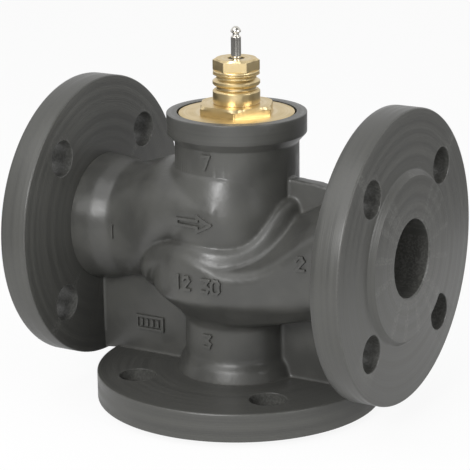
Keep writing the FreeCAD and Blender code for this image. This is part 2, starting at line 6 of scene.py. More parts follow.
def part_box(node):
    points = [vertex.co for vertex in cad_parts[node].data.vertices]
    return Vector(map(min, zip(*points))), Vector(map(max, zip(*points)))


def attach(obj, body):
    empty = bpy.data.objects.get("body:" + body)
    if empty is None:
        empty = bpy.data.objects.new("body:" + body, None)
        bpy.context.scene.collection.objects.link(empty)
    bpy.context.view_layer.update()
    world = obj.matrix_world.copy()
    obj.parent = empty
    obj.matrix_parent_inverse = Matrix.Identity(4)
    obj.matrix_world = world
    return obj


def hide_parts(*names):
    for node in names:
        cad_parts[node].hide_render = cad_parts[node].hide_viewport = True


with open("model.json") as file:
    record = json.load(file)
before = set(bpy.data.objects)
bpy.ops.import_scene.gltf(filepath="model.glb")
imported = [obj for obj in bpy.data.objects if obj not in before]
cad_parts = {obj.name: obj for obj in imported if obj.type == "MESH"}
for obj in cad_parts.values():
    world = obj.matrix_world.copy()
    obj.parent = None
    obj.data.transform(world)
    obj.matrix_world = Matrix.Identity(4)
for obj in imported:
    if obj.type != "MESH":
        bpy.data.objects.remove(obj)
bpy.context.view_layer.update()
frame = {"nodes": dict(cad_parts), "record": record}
print("frame loaded:", len(frame["nodes"]), "nodes")

mm = 0.001
scene = bpy.context.scene
boltPattern = {mount["name"]: mount for mount in frame["record"]["mounts"]}["port_ab_bolts"]
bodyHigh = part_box("valve_body")[1]
halfLength = bodyHigh.x                                   # flange face from the stem's axis
flangeRadius = bodyHigh.y
collarTop = 155.0 * mm
portHeight = boltPattern["pos_m"][2]                      # axis of the two side ports
boltCircle = boltPattern["dims"]["pcd_mm"] * mm
boltHoleRadius = boltPattern["dims"]["hole_r_mm"] * mm
boltCount = boltPattern["dims"]["count"]
cornerSharpness = 90                                      # a higher number makes a hexagon's corners sharper


def inMillimetres(rows):
    return [tuple(value * mm for value in row) for row in rows]


def addToScene(name, data):
    thing = bpy.data.objects.new(name, data)
    scene.collection.objects.link(thing)
    return thing


def newObject(name, vertices, faces):
    mesh = bpy.data.meshes.new(name)
    mesh.from_pydata([tuple(point) for point in vertices], [], faces)
    mesh.update()
    piece = addToScene(name, mesh)
    tidyNormals(piece)
    return piece


def tidyNormals(piece):
    work = bmesh.new()
    work.from_mesh(piece.data)
    bmesh.ops.remove_doubles(work, verts=work.verts, dist=1e-7)
    bmesh.ops.recalc_face_normals(work, faces=work.faces)
    work.to_mesh(piece.data)
    work.free()


def finishedMesh(piece):
    depsgraph = bpy.context.evaluated_depsgraph_get()
    return bpy.data.meshes.new_from_object(piece.evaluated_get(depsgraph), depsgraph=depsgraph)


def applyModifiers(piece):
    baked = finishedMesh(piece)
    old = piece.data
    piece.modifiers.clear()
    piece.data = baked
    bpy.data.meshes.remove(old)
    return piece


def modify(piece, kind, **settings):
    modifier = piece.modifiers.new(kind.title(), kind)
    for key, value in settings.items():
        setattr(modifier, key, value)
    return applyModifiers(piece)


def boolean(piece, other, operation):
    modify(piece, "BOOLEAN", object=other, operation=operation, solver="MANIFOLD")
    bpy.data.objects.remove(other)
    return piece


def joined(name, parts):
    work = bmesh.new()
    for part in parts:
        work.from_mesh(part.data)
        bpy.data.objects.remove(part)
    mesh = bpy.data.meshes.new(name)
    work.to_mesh(mesh)
    work.free()
    return addToScene(name, mesh)


def meltTogether(name, parts, voxel, passes):
    piece = joined(name, parts)
    modify(piece, "REMESH", mode="VOXEL", voxel_size=voxel)
    modify(piece, "SMOOTH", factor=0.5, iterations=passes)
    return piece


def rounded(corners, steps=4):
    # (radius, height, fillet) corners of a turned outline, each corner with a fillet made into an arc
    outline = []
    for index, (across, along, fillet) in enumerate(corners):
        here = Vector((across, along))
        if fillet <= 0 or index in (0, len(corners) - 1):
            outline.append(here)
            continue
        before = Vector(corners[index - 1][:2]) - here
        after = Vector(corners[index + 1][:2]) - here
        angle = before.angle(after)
        reach = min(fillet / math.tan(angle / 2), 0.48 * before.length, 0.48 * after.length)
        radius = reach * math.tan(angle / 2)
        start = here + before.normalized() * reach
        finish = here + after.normalized() * reach
        centre = here + (before.normalized() + after.normalized()).normalized() * radius / math.sin(angle / 2)
        sweep = (start - centre).angle_signed(finish - centre)
        for step in range(steps + 1):
            turn = -sweep * step / steps
            arm = start - centre
            outline.append(centre + Vector((arm.x * math.cos(turn) - arm.y * math.sin(turn),
                                            arm.x * math.sin(turn) + arm.y * math.cos(turn))))
    return outline


def hexagonReach(turn, flats, cornerTurn):
    # distance from the axis to a hexagon's side, with its corners a little rounded
    total = 0
    for side in range(6):
        facing = math.cos(turn - math.radians(cornerTurn + 30 + 60 * side))
        total += max(0, facing / (flats / 2)) ** cornerSharpness
    return total ** (-1 / cornerSharpness)


def turned(name, corners, segments=96, closed=False, place=None, hexagon=None, teeth=None):
    # a lathe piece about Z; an outline that isn't a closed ring starts and ends on the axis
    # hexagon: lowest and highest row cut to six sides, width across flats, a corner's turn in degrees
    # teeth: lowest, highest, count and depth of a row of small notches
    outline = rounded(corners)
    vertices, faces, rings = [], [], []
    for point in outline:
        if abs(point.x) < 1e-9:
            rings.append([len(vertices)])
            vertices.append(Vector((0, 0, point.y)))
        else:
            rings.append(range(len(vertices), len(vertices) + segments))
            cut = hexagon and hexagon[0] - 1e-6 <= point.y <= hexagon[1] + 1e-6
            cut = cut and 0.4 * hexagon[2] < point.x < 0.63 * hexagon[2]
            for step in range(segments):
                turn = 2 * math.pi * step / segments
                radius = point.x
                if cut:
                    side = hexagonReach(turn, hexagon[2], hexagon[3])
                    total = radius ** -cornerSharpness + side ** -cornerSharpness
                    radius = total ** (-1 / cornerSharpness)
                if teeth and teeth[0] <= point.y <= teeth[1]:
                    radius -= teeth[3] * max(0, math.cos(teeth[2] * turn))
                vertices.append(Vector((radius * math.cos(turn), radius * math.sin(turn), point.y)))
    pairs = list(zip(rings, rings[1:] + rings[:1])) if closed else list(zip(rings, rings[1:]))
    for lower, upper in pairs:
        for step in range(segments):
            after = (step + 1) % segments
            if len(lower) == 1 and len(upper) == 1:
                continue
            if len(lower) == 1:
                faces.append((lower[0], upper[after], upper[step]))
            elif len(upper) == 1:
                faces.append((lower[step], lower[after], upper[0]))
            else:
                faces.append((lower[step], lower[after], upper[after], upper[step]))
    if place is not None:
        vertices = [place @ point for point in vertices]
    return newObject(name, vertices, faces)


def lofted(name, rings):
    vertices = [point for ring in rings for point in ring]
    count = len(rings[0])
    faces = [tuple(reversed(range(count))), tuple(range(len(vertices) - count, len(vertices)))]
    for level in range(len(rings) - 1):
        for step in range(count):
            after = (step + 1) % count
            faces.append((level * count + step, level * count + after,
                          (level + 1) * count + after, (level + 1) * count + step))
    return newObject(name, vertices, faces)


def ovalRing(x, centre, halfWidth, halfHeight, power=1.0):
    # an upright oval across the X axis; a power under 1 makes it squarer
    count = 64
    ring = []
    for step in range(count):
        turn = 2 * math.pi * step / count
        across, up = math.cos(turn), math.sin(turn)
        ring.append(Vector((x, halfWidth * math.copysign(abs(across) ** power, across),
                            centre + halfHeight * math.copysign(abs(up) ** power, up))))
    return ring


def smoothTable(rows, between=5):
    # rows of numbers, with more rows put between them on a smooth curve
    def onCurve(a, b, c, d, share):
        return 0.5 * (2 * b + (c - a) * share + (2 * a - 5 * b + 4 * c - d) * share ** 2
                      + (3 * b - a - 3 * c + d) * share ** 3)
    result = []
    for index in range(len(rows) - 1):
        around = [rows[max(0, min(len(rows) - 1, index + shift))] for shift in (-1, 0, 1, 2)]
        for step in range(between):
            result.append(tuple(onCurve(*values, step / between) for values in zip(*around)))
    result.append(tuple(rows[-1]))
    return result


def duct(name, rows):
    # a solid along X through upright ovals: place, lowest, highest, half width, squareness, all in mm
    rings = []
    for x, low, high, wide, power in smoothTable(rows):
        rings.append(ovalRing(x * mm, (low + high) / 2 * mm, wide * mm, (high - low) / 2 * mm, power))
    return lofted(name, rings)


def plate(name, outline, thickness):
    # a flat plate on the valve's middle plane, outline as (x, z)
    count = len(outline)
    front = [Vector((x, -thickness / 2, z)) for x, z in outline]
    back = [Vector((x, thickness / 2, z)) for x, z in outline]
    faces = [tuple(range(count)), tuple(reversed(range(count, 2 * count)))]
    faces += [(step, (step + 1) % count, count + (step + 1) % count, count + step) for step in range(count)]
    return newObject(name, front + back, faces)


def swept(name, path, radius):
    # a round bar along a smooth curve through given points
    curve = bpy.data.curves.new(name, "CURVE")
    curve.dimensions = "3D"
    spline = curve.splines.new("NURBS")
    spline.points.add(len(path) - 1)
    for point, place in zip(spline.points, path):
        point.co = (*place, 1)
    spline.order_u = 4
    spline.use_endpoint_u = True
    curve.resolution_u = 8
    curve.bevel_depth = radius
    curve.bevel_resolution = 6
    curve.use_fill_caps = True
    piece = addToScene(name, curve)
    mesh = finishedMesh(piece)
    bpy.data.objects.remove(piece)
    solid = addToScene(name, mesh)
    tidyNormals(solid)
    return solid


def alongX(side, height=portHeight):
    # turns a lathe piece about Z into one about the side ports' axis, its +Z pointing out of the port
    return Matrix.Translation((0, 0, height)) @ Matrix.Rotation(math.radians(90 * side), 4, "Y")


flange = {
    "thickness": 18.0 * mm,
    "raisedRadius": 42.0 * mm,
    "raisedHeight": 3.0 * mm,
    "raisedSlope": 2.4 * mm,
    "raisedRounding": 0.6 * mm,
    "slopeFillet": 1.6 * mm,
    "rimRounding": 0.9 * mm,
    "bore": 20.0 * mm,
    "mouthChamfer": 0.8 * mm,
}


def flangeBlank(name, place):
    # +Z points out of the port, the joint face is at z = 0
    deep, raised = flange["thickness"], flange["raisedHeight"]
    edge = flange["raisedRadius"]
    return turned(name, [
        (0, 0, 0), (edge, 0, flange["raisedRounding"]),
        (edge + flange["raisedSlope"], -raised, flange["slopeFillet"]),
        (flangeRadius, -raised, flange["rimRounding"]), (flangeRadius, -deep, flange["rimRounding"]),
        (0, -deep, 0)], segments=160, place=place)


flangePlaces = {
    "a": alongX(-1) @ Matrix.Translation((0, 0, halfLength)),
    "ab": alongX(1) @ Matrix.Translation((0, 0, halfLength)),
    "b": Matrix.Rotation(math.pi, 4, "X"),
}

casting = {
    "voxel": 0.85 * mm,
    "tubeRadius": 29.5 * mm,
    "webThickness": 8.0 * mm,
    "chamberReach": 0.85,              # the upper chamber's reach to port AB, as a share of its width
    "lipRadius": 4.2 * mm,
    "sinkStart": -12.0,                # where the belly's top starts to sink, in mm along X
    "sinkLength": 36.0,
    "sinkDepth": 0.46,
    "sinkAbove": 70 * mm,              # what lies lower doesn't sink
    "shelfRise": 4.4 * mm,             # the sloping shelf between the lip and the upper chamber
    "shelfPull": 0.965,
    "shelfBars": 4,
}

# the lip round the mixing chamber, from under port A's arm to its top under the upper web, in mm
lipPath = [(-42, -12, 62), (-42.5, -20, 67.5), (-39.5, -26.5, 74), (-32, -31.2, 79.5), (-22, -35, 82.8),
           (-10, -38.4, 84.4), (0, -39.2, 84.2), (8, -37.4, 83.4), (15, -34.2, 83), (22.5, -29.3, 84.8),
           (28, -24, 90), (31.5, -19.5, 96), (34, -13, 103), (35.5, -6, 106)]

bell = {
    "sunk": 6 * mm,                    # how far it runs into the flange
    "mouth": 33.6 * mm,                # radius at the flange
    "mouthLength": 1 * mm,
    "shoulder": 32.6 * mm,
    "shoulderAt": 10.5 * mm,           # distances from the flange's back
    "armAt": 20 * mm,
    "end": 30 * mm,
}


def hub(side):
    # the bell behind a side flange, sharp where it meets the flange and rounded down to the arm
    start = halfLength - flange["thickness"]
    tube = casting["tubeRadius"]
    inside, end = start + bell["sunk"], start - bell["end"]
    return turned("hub", [
        (0, inside, 0), (bell["mouth"], inside, 0), (bell["mouth"], start - bell["mouthLength"], 1 * mm),
        (bell["shoulder"], start - bell["shoulderAt"], 8 * mm),
        (tube + 0.2 * mm, start - bell["armAt"], 9 * mm), (tube, end, 0), (0, end, 0)],
        segments=128, place=alongX(side))


inletChannel = [                       # place along X, lowest, highest, half width, squareness, in mm
    (-74, 61, 119.6, 29.3, 1), (-64, 61.2, 120.2, 29.4, 1), (-56, 61.8, 122, 30.0, 0.97),
    (-47, 64, 125, 31.8, 0.93), (-38, 70, 127.5, 35, 0.9), (-28, 79, 128, 37.6, 0.88),
    (-12, 88, 127.6, 39, 0.88), (8, 92, 124.5, 38.5, 0.9)]
inletChamber = [                       # radius, height, fillet, in mm
    (0, 86, 0), (36, 86, 3), (39.2, 95, 12), (39.2, 107, 20), (36.8, 116.5, 20), (33.0, 127.3, 0.8),
    (0, 127.3, 0)]


def inletCore():
    channel = duct("inlet_channel", inletChannel)
    chamber = turned("inlet_chamber", inMillimetres(inletChamber))
    for vertex in chamber.data.vertices:
        if vertex.co.x > 0:
            vertex.co.x *= casting["chamberReach"]
    return meltTogether("inlet_core", [hub(-1), channel, chamber], casting["voxel"], 16)


def mixingSection(x, bottom, foot, low, wide, crown, valleyWide, valleyHigh, top, fillet):
    # across the channel to port AB: a full front, a rounded crown, a valley and a raised middle, all in mm
    half = rounded([(0, bottom, 0), (foot, bottom, fillet), (wide, low, fillet), (wide, crown, fillet),
                    (valleyWide, valleyHigh, fillet), (9, top, fillet), (0, top, 0)], steps=6)
    ring = [Vector((x, point.x, point.y)) * mm for point in half]
    return ring + [Vector((point.x, -point.y, point.z)) for point in reversed(ring[1:-1])]


mixingChannel = [
    # all in mm: place along X, bottom, foot, low corner, half width, crown, valley's half width, its height,
    # top and fillet
    (-8, 49, 29, 64.4, 43.0, 85, 36, 88, 91, 6.5), (4, 49, 29, 64.2, 44.2, 83, 35, 87, 91, 6.5),
    (12, 49, 29, 64.2, 44.0, 81.6, 33.5, 85.0, 92, 7), (22, 50, 28, 64.4, 42.5, 81.2, 31.5, 85.2, 95.5, 7.5),
    (32, 51.5, 26, 65, 40.6, 83.2, 29.5, 88.5, 101.5, 8.5),
    (40, 53, 24, 65.5, 38.8, 87, 28, 93.5, 106.3, 9.5),
    (48, 54.6, 22, 66, 37, 92.5, 26.5, 100.5, 110.5, 10.5),
    (56, 56, 20, 67, 35.4, 98.5, 25, 107.5, 114.5, 11.5),
    (64, 56.8, 18, 68.5, 34.2, 103, 22.5, 114, 118.5, 11),
    (72, 56.8, 16, 70.5, 33.6, 105.5, 20, 119, 121.8, 13),
    (86, 56.6, 14.5, 71.5, 33.4, 107, 17.5, 121.8, 123.2, 15)]
bellyOutline = [                       # radius, height, fillet, in mm
    (0, 44, 0), (27, 44, 3), (30.5, 50.5, 6), (44.6, 63.5, 6), (44.6, 70, 0), (44.6, 87.5, 8),
    (37.5, 92.0, 1), (0, 92.0, 0)]
riserOutline = [                       # radius, height, fillet, in mm
    (0, 12, 0), (33, 12, 0), (32.6, 18, 1), (30.6, 24.4, 1), (28.2, 27, 5), (28, 36, 6), (28, 52, 0),
    (0, 52, 0)]


def mixingCore():
    channel = lofted("mixing_channel", [mixingSection(*row) for row in smoothTable(mixingChannel)])
    belly = turned("belly", inMillimetres(bellyOutline))
    for vertex in belly.data.vertices:
        # the belly's top sinks on port AB's side, where the channel leaves it
        share = min(1, max(0, (vertex.co.x / mm - casting["sinkStart"]) / casting["sinkLength"]))
        sink = 1 - casting["sinkDepth"] * share * share * (3 - 2 * share)
        base = casting["sinkAbove"]
        vertex.co.z = min(vertex.co.z, base + (vertex.co.z - base) * sink)
    riser = turned("riser", inMillimetres(riserOutline))
    front = [Vector(point) * mm for point in lipPath]
    back = [Vector((point.x, -point.y, point.z)) for point in reversed(front)]
    bars = []
    for step in range(casting["shelfBars"]):
        share = step / (casting["shelfBars"] - 1)
        pull = 1 + (casting["shelfPull"] - 1) * share
        rise = casting["shelfRise"] * share
        path = [(point.x * pull, point.y * pull, point.z + rise) for point in front + back]
        bars.append(swept("lip", path, casting["lipRadius"]))
    return meltTogether("mixing_core", [channel, belly, riser] + bars, casting["voxel"], 7)


webSizes = {
    "inner": 20 * mm,                  # where the webs end, inside the casting
    "sunk": 4 * mm,                    # how far they run into a flange
    "foot": 12 * mm,
    "armEdge": 58 * mm,                # height at the flange, under the arm
    "armMiddle": 66 * mm,
    "padSunk": 6 * mm,
    "padShy": 0.4 * mm,                # how far a pad stays inside the flange's back
    "padLow": 26 * mm,
    "padHigh": 62 * mm,
    "padEdge": 3 * mm,                 # how far the bottom pad stays from the flange's rim
    "padFoot": 8 * mm,
    "upperLow": (96 * mm, 100 * mm),   # at the inner end and at the flange
    "upperEdge": 118.5 * mm,
    "neck": 31.8 * mm,
    "neckHeights": (90 * mm, 138 * mm),
}
upperWebTop = [(62, 120.0), (48, 122.6), (36, 123.4), (20, 123.6)]         # place and height in mm


def webs():
    # plates on the middle plane, and pads in the flanges that grow into fillets when the casting is melted
    size = webSizes
    back = halfLength - flange["thickness"]
    top = flange["thickness"]
    thick = casting["webThickness"]
    padThick = 3 * thick
    inner, foot, outer = size["inner"], size["foot"], back + size["sunk"]
    lower = [(outer, top - 2.6 * mm), (outer, size["armEdge"]), (back - size["sunk"], size["armMiddle"]),
             (inner, size["armMiddle"]), (inner, foot), (flangeRadius - 4 * mm, foot),
             (flangeRadius - 1 * mm, top - 1 * mm)]
    near, far = back + size["padSunk"], back + size["padShy"]
    pad = [(near, size["padLow"]), (near, size["padHigh"]), (far, size["padHigh"]), (far, size["padLow"])]
    plates = []
    for side in (-1, 1):
        plates.append(plate("web", [(side * x, z) for x, z in lower], thick))
        plates.append(plate("pad", [(side * x, z) for x, z in pad], padThick))
    innerLow, outerLow = size["upperLow"]
    upper = [(inner, innerLow), (outer, outerLow), (outer, size["upperEdge"])] + inMillimetres(upperWebTop)
    plates.append(plate("web", upper, thick))
    low, high = size["neckHeights"]
    neck = size["neck"]
    plates.append(turned("neck", [(0, low, 0), (neck, low, 0), (neck, high, 0), (0, high, 0)]))
    edge, low, high = flangeRadius - size["padEdge"], size["padFoot"], top - size["padShy"]
    plates.append(plate("pad", [(-edge, low), (edge, low), (edge, high), (-edge, high)], padThick))
    return plates


collarSize = {
    "neck": 32.0 * mm,
    "foot": 110 * mm,
    "outer": 36.0 * mm,
    "band": 10.4 * mm,
    "undercut": 14.8 * mm,
}


def collar():
    neck, outer, foot = collarSize["neck"], collarSize["outer"], collarSize["foot"]
    return turned("collar", [
        (0, foot, 0), (neck, foot, 0), (neck, collarTop - collarSize["undercut"], 2 * mm),
        (outer, collarTop - collarSize["band"], 0.8 * mm), (outer, collarTop, 0.5 * mm), (0, collarTop, 0)],
        segments=160)


past = 1 * mm                          # how far a cutter runs past the casting
boredOutline = [                       # radius, height, fillet, in mm
    (21.5, 47, 0), (21.5, 54, 0),                                          # pocket of the lower seat ring
    (26, 54, 2), (36, 66, 6), (36, 79, 6), (26, 91, 2),                    # mixing chamber
    (22.2, 91, 0), (22.2, 95, 0), (24.5, 95, 0), (24.5, 99, 0),            # pocket of the upper seat ring
    (30, 99, 3), (30, 118, 3), (26, 122, 0), (26, 137, 0),                 # inlet chamber and the bore above
    (27, 137, 0), (27, 149, 0), (30.7, 149, 0)]                            # the bonnet's thread and recess
passages = {                           # place along X, middle's height, half width, half height, in mm
    -1: ((22, 108.5, 27, 9.5), (64, 90, 20, 20)),
    1: ((22, 72, 27, 16), (64, 90, 20, 20)),
}
passageSteps = 8


def hollow():
    # everything bored or cored out of the casting
    bore, chamfer = flange["bore"], flange["mouthChamfer"]
    pocketFoot, recess = boredOutline[0][1] * mm, boredOutline[-1][0] * mm
    cutters = [turned("core", [
        (0, -past, 0), (bore + chamfer + past, -past, 0), (bore, chamfer, 0), (bore, pocketFoot, 0)]
        + inMillimetres(boredOutline)
        + [(recess, collarTop + past, 0), (0, collarTop + past, 0)], segments=128)]
    for side, (near, far) in passages.items():
        rings = []
        for step in range(passageSteps + 1):
            share = step / passageSteps
            smooth = share * share * (3 - 2 * share)
            x = near[0] + (far[0] - near[0]) * share
            centre, wide, high = (near[i] + (far[i] - near[i]) * smooth for i in (1, 2, 3))
            rings.append(ovalRing(side * x * mm, centre * mm, wide * mm, high * mm))
        cutters.append(lofted("passage", rings))
        start = (far[0] - 1) * mm
        cutters.append(turned("bore", [
            (0, start, 0), (bore, start, 0), (bore, halfLength - chamfer, 0),
            (bore + chamfer + past, halfLength + past, 0), (0, halfLength + past, 0)], segments=128,
            place=alongX(side)))
    return cutters


boltHoleSizes = {"chamfer": 0.25 * mm, "past": 2 * mm}


def boltHoles():
    holes = []
    chamfer, reach = boltHoleSizes["chamfer"], boltHoleSizes["past"]
    top, foot = -flange["raisedHeight"], -flange["thickness"]
    mouth = boltHoleRadius + chamfer + reach
    for place in flangePlaces.values():
        for index in range(boltCount):
            turn = 2 * math.pi * (index + 0.5) / boltCount
            spot = Matrix.Translation((boltCircle / 2 * math.cos(turn), boltCircle / 2 * math.sin(turn), 0))
            holes.append(turned("hole", [
                (0, top + reach, 0), (mouth, top + reach, 0), (boltHoleRadius, top - chamfer, 0),
                (boltHoleRadius, foot + chamfer, 0), (mouth, foot - reach, 0), (0, foot - reach, 0)],
                segments=48, place=place @ spot))
    return holes


def buildCasting():
    core = meltTogether("casting", [inletCore(), mixingCore()] + webs(), casting["voxel"], 4)
    print("casting core:", len(core.data.polygons), "faces")
    for name, place in flangePlaces.items():
        boolean(core, flangeBlank(f"flange_{name}", place), "UNION")
    boolean(core, collar(), "UNION")
    for cutter in hollow() + boltHoles():
        boolean(core, cutter, "DIFFERENCE")
    addMarks(core)
    print("casting:", len(core.data.polygons), "faces")
    return core


socketKinds = {"value": "NodeSocketFloat", "vector": "NodeSocketVector"}


def newGroup(name, inputs, outputs):
    # a shader group with named sockets; inputs carry their usual values
    group = bpy.data.node_groups.new(name, "ShaderNodeTree")
    for label, kind, usual in inputs:
        socket = group.interface.new_socket(label, in_out="INPUT", socket_type=socketKinds[kind])
        if kind == "value":
            socket.default_value = usual
    for label in outputs:
        group.interface.new_socket(label, in_out="OUTPUT", socket_type=socketKinds["value"])
    return group, group.nodes.new("NodeGroupInput").outputs, group.nodes.new("NodeGroupOutput").inputs


def feed(tree, value, socket):
    if isinstance(value, (int, float, tuple)):
        socket.default_value = value
    else:
        tree.links.new(value, socket)


def sums(tree, operation, *values):
    node = tree.nodes.new("ShaderNodeMath")
    node.operation = operation
    for value, socket in zip(values, node.inputs):
        feed(tree, value, socket)
    return node.outputs[0]


def speckle(tree, place, scale, detail=3.0):
    node = tree.nodes.new("ShaderNodeTexNoise")
    feed(tree, place, node.inputs["Vector"])
    feed(tree, scale, node.inputs["Scale"])
    node.inputs["Detail"].default_value = detail
    return node.outputs["Fac"]


def ease(tree, value, low, high, start=0.0, end=1.0):
    node = tree.nodes.new("ShaderNodeMapRange")
    node.interpolation_type = "SMOOTHSTEP"
    labels = ("Value", "From Min", "From Max", "To Min", "To Max")
    for label, number in zip(labels, (value, low, high, start, end)):
        feed(tree, number, node.inputs[label])
    return node.outputs["Result"]


def blend(tree, share, first, second, kind="RGBA"):
    node = tree.nodes.new("ShaderNodeMix")
    node.data_type = kind
    sockets = [socket for socket in node.inputs if socket.enabled]
    for value, socket in zip((share, first, second), sockets):
        feed(tree, value, socket)
    return next(socket for socket in node.outputs if socket.enabled)


def makeSurfaceGrain():
    # cast or moulded skin: a fine pebble on slow waves, and a patchy mask
    group, given, result = newGroup("surface_grain", [("Place", "vector", None), ("Scale", "value", 900.0)],
                                    ["Height", "Patches"])
    fine = speckle(group, given["Place"], given["Scale"], 2.0)
    broad = speckle(group, given["Place"], sums(group, "MULTIPLY", given["Scale"], 0.22), 2.0)
    slow = speckle(group, given["Place"], sums(group, "MULTIPLY", given["Scale"], 0.045), 3.0)
    feed(group, sums(group, "MULTIPLY_ADD", fine, 0.4, broad), result["Height"])
    feed(group, ease(group, slow, 0.35, 0.65), result["Patches"])
    return group


def makeTurnedMarks():
    # the fine rings a lathe leaves, round the Z axis of the place it is given
    group, given, result = newGroup("turned_marks", [("Place", "vector", None), ("Lines", "value", 2500.0)],
                                    ["Height", "Shade"])
    split = group.nodes.new("ShaderNodeSeparateXYZ")
    feed(group, given["Place"], split.inputs[0])
    x, y = split.outputs["X"], split.outputs["Y"]
    across = sums(group, "ADD", sums(group, "MULTIPLY", x, x), sums(group, "MULTIPLY", y, y))
    across = sums(group, "POWER", across, 0.5)
    rings = group.nodes.new("ShaderNodeCombineXYZ")
    feed(group, across, rings.inputs["X"])
    feed(group, split.outputs["Z"], rings.inputs["Z"])
    lines = speckle(group, rings.outputs[0], given["Lines"], 2.0)
    bands = speckle(group, rings.outputs[0], sums(group, "MULTIPLY", given["Lines"], 0.18), 2.0)
    feed(group, lines, result["Height"])
    feed(group, ease(group, bands, 0.3, 0.7), result["Shade"])
    return group


def makeEdgeWearAndGlint():
    # a broken mask along outside edges, for worn edges and, on the paint, also a painted highlight along the
    # edges
    group, given, result = newGroup("edge_wear_and_glint", [("Place", "vector", None), ("Grain", "value", 700.0),
                                                  ("Reach", "value", 0.02)], ["Mask"])
    shape = group.nodes.new("ShaderNodeNewGeometry")
    above = sums(group, "SUBTRACT", shape.outputs["Pointiness"], 0.5)
    ratio = sums(group, "DIVIDE", above, given["Reach"])
    broken = ease(group, speckle(group, given["Place"], given["Grain"], 4.0), 0.42, 0.62)
    feed(group, sums(group, "MULTIPLY", ease(group, ratio, 0.5, 2.0), broken), result["Mask"])
    return group


def makeDust():
    # a light film in corners and on faces that look up
    group, given, result = newGroup("dust", [("Place", "vector", None), ("Depth", "value", 0.006)], ["Mask"])
    corner = group.nodes.new("ShaderNodeAmbientOcclusion")
    corner.samples = 6
    feed(group, given["Depth"], corner.inputs["Distance"])
    closed = ease(group, corner.outputs["AO"], 0.95, 0.45)
    split = group.nodes.new("ShaderNodeSeparateXYZ")
    feed(group, group.nodes.new("ShaderNodeNewGeometry").outputs["Normal"], split.inputs[0])
    upward = ease(group, split.outputs["Z"], 0.2, 1.0, 0.15, 1.0)
    patchy = ease(group, speckle(group, given["Place"], 260.0, 4.0), 0.3, 0.7)
    feed(group, sums(group, "MULTIPLY", sums(group, "MULTIPLY", closed, upward), patchy), result["Mask"])
    return group


surfaceGrain = makeSurfaceGrain()
turnedMarks = makeTurnedMarks()
edgeWearAndGlint = makeEdgeWearAndGlint()
dust = makeDust()
print("shader groups made")


def useGroup(tree, group, **values):
    # puts a group in a material and returns its outputs
    node = tree.nodes.new("ShaderNodeGroup")
    node.node_tree = group
    for label, value in values.items():
        feed(tree, value, node.inputs[label])
    return node.outputs


def newMaterial(name, **values):
    material = bpy.data.materials.new(name)
    material.use_nodes = True
    shader = material.node_tree.nodes["Principled BSDF"]
    for label, value in values.items():
        shader.inputs[label.replace("_", " ")].default_value = value
    spot = material.node_tree.nodes.new("ShaderNodeTexCoord").outputs["Object"]
    return material, material.node_tree, shader.inputs, spot


def raiseSurface(tree, height, distance, sockets):
    bump = tree.nodes.new("ShaderNodeBump")
    bump.inputs["Distance"].default_value = distance
    feed(tree, height, bump.inputs["Height"])
    feed(tree, bump.outputs["Normal"], sockets["Normal"])


paintFinish = {
    "colour": (0.047, 0.047, 0.0437, 1),
    "paler": (0.060, 0.060, 0.055, 1),
    # the next colour lightens edges: partly worn paint, partly a painted highlight along the edges
    "wornAndGlint": (0.12, 0.12, 0.112, 1),
    "dusty": (0.13, 0.125, 0.11, 1),
    "roughness": (0.30, 0.42),
    "bump": 0.00010,
}


def makePaint():
    material, tree, sockets, spot = newMaterial("cast_paint")
    split = tree.nodes.new("ShaderNodeSeparateXYZ")
    feed(tree, spot, split.inputs[0])
    x, y, z = split.outputs
    sideways = tree.nodes.new("ShaderNodeCombineXYZ")
    feed(tree, y, sideways.inputs["X"])
    feed(tree, sums(tree, "SUBTRACT", z, portHeight), sideways.inputs["Y"])
    feed(tree, x, sideways.inputs["Z"])
    back = halfLength - flange["thickness"]
    onSide = sums(tree, "GREATER_THAN", sums(tree, "ABSOLUTE", x), back - 0.1 * mm)
    onFoot = sums(tree, "LESS_THAN", z, flange["thickness"] + 0.1 * mm)
    onCollar = sums(tree, "GREATER_THAN", z, collarTop - collarSize["band"])
    grain = useGroup(tree, surfaceGrain, Place=spot, Scale=1100.0)
    sideRings = useGroup(tree, turnedMarks, Place=sideways.outputs[0], Lines=1500.0)
    upRings = useGroup(tree, turnedMarks, Place=spot, Lines=1500.0)
    rings = blend(tree, onSide, upRings["Height"], sideRings["Height"], "FLOAT")
    bands = blend(tree, onSide, upRings["Shade"], sideRings["Shade"], "FLOAT")
    turnedHere = sums(tree, "MAXIMUM", onSide, sums(tree, "MAXIMUM", onFoot, onCollar))
    height = blend(tree, turnedHere, grain["Height"], rings, "FLOAT")
    shade = blend(tree, turnedHere, grain["Patches"], bands, "FLOAT")
    # lighter edges: partly worn paint, partly a painted highlight standing in for the glint along edges
    wearAndGlint = useGroup(tree, edgeWearAndGlint, Place=spot, Grain=900.0, Reach=0.03)["Mask"]
    film = useGroup(tree, dust, Place=spot, Depth=5 * mm)["Mask"]
    colour = blend(tree, shade, paintFinish["colour"], paintFinish["paler"])
    colour = blend(tree, sums(tree, "MULTIPLY", wearAndGlint, 0.5), colour, paintFinish["wornAndGlint"])
    colour = blend(tree, sums(tree, "MULTIPLY", film, 0.3), colour, paintFinish["dusty"])
    feed(tree, colour, sockets["Base Color"])
    feed(tree, ease(tree, shade, 0.0, 1.0, *paintFinish["roughness"]), sockets["Roughness"])
    raiseSurface(tree, height, paintFinish["bump"], sockets)
    return material


